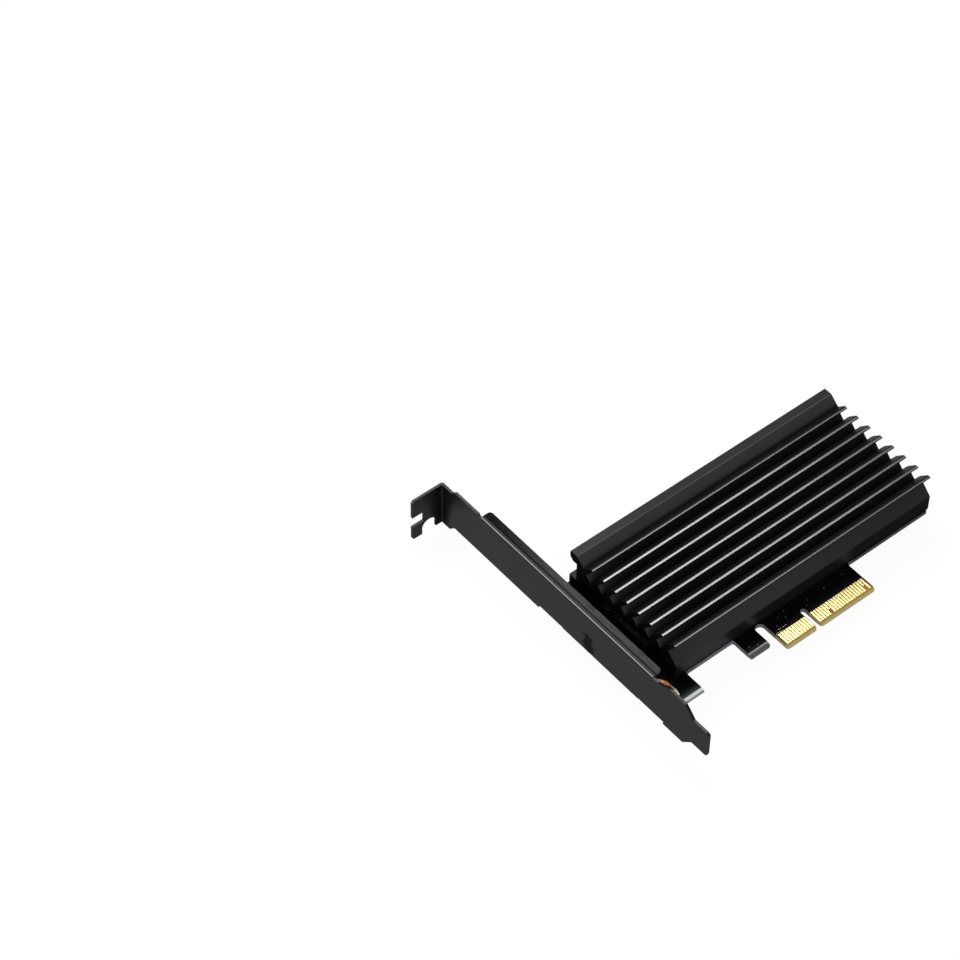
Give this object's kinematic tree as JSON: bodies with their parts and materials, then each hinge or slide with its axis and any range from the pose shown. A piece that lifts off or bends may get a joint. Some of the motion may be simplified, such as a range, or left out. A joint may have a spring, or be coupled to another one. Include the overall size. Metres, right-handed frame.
{
  "type": "m.2 drive adapter card",
  "caption": "Expansion card adapter for one M.2 drive: black board with a gold edge connector, finned black heatsink over the drive bay and a folded full-height bracket.",
  "frame": {"origin": "outer face of the bracket, at the height of the edge connector's nose (Y = 0) and of the board's component face (Z = 0)", "axes": "+X from the bracket's outer face along the card to its far end, +Y from the edge connector's nose towards the bracket's ear, +Z from the board's component face towards the heatsink's fins"},
  "size_m": [0.126, 0.12, 0.0203],
  "materials": {
    "black_board": "glossy solder mask",
    "gold_contact": "polished gold plating",
    "bare_copper": "tinned copper",
    "black_aluminium": "black anodised, bright cut fin tips",
    "black_bracket": "satin black plating",
    "black_steel": "black oxide",
    "bright_steel": "nickel plated",
    "thermal_pad": "matte silicone",
    "black_plastic": "moulded",
    "tan_ceramic": "satin",
    "yellow_epoxy": "moulded",
    "led_lens": "clear"
  },
  "bodies": {
    "root": {"circuit_board": "black_board", "edge_contacts_component_side": "gold_contact", "edge_contacts_solder_side": "gold_contact", "bracket_ground_pads": "bare_copper", "solder_side_ground_pads": "bare_copper", "length_position_pads": "bare_copper", "heatsink": "black_aluminium", "heatsink_screws": "black_steel", "thermal_pad": "thermal_pad", "bracket": "black_bracket", "bracket_screws": "black_steel", "m2_socket_housing": "black_plastic", "m2_socket_upper_contacts": "gold_contact", "m2_socket_lower_contacts": "gold_contact", "m2_socket_hold_downs": "bright_steel", "m2_standoff": "bright_steel", "bulk_capacitors": "yellow_epoxy", "ceramic_capacitors": "tan_ceramic", "resistors": "black_plastic", "power_led": "led_lens", "activity_led": "led_lens", "led_transistor": "black_plastic"}
  },
  "joints": []
}
